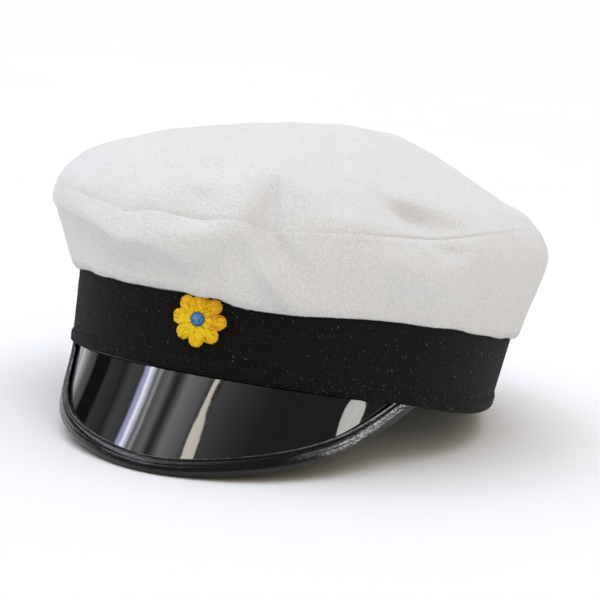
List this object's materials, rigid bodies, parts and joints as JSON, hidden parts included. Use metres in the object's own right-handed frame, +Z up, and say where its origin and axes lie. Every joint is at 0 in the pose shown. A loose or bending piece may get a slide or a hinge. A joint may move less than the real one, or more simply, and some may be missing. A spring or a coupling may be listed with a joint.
{
  "type": "student cap",
  "caption": "Soft white crown on a black velvet band with a glossy black peak and a small embroidered flower at the front, worn on the head.",
  "frame": {"origin": "under the middle of the outline, on the surface that the cap rests on", "axes": "+Z up from that surface, -Y towards the peak, +X to the wearer's left; the cap rests on its peak's edge and its rear hem, so its band is tipped back by about 9 degrees"},
  "size_m": [0.199, 0.256, 0.1196],
  "materials": {
    "crown_velour": "soft white velour with a short nap",
    "band_velvet": "black velvet with a faint sheen",
    "peak_patent": "black patent, mirror gloss",
    "peak_binding": "black grained binding, half gloss, stitched",
    "cockade_yellow": "yellow satin-stitch embroidery",
    "cockade_blue": "blue satin-stitch embroidery"
  },
  "bodies": {
    "root": {"crown_top": "crown_velour", "crown_side": "crown_velour", "band": "band_velvet", "peak": "peak_patent", "peak_binding": "peak_binding", "cockade_flower": "cockade_yellow", "cockade_centre": "cockade_blue"}
  },
  "joints": []
}
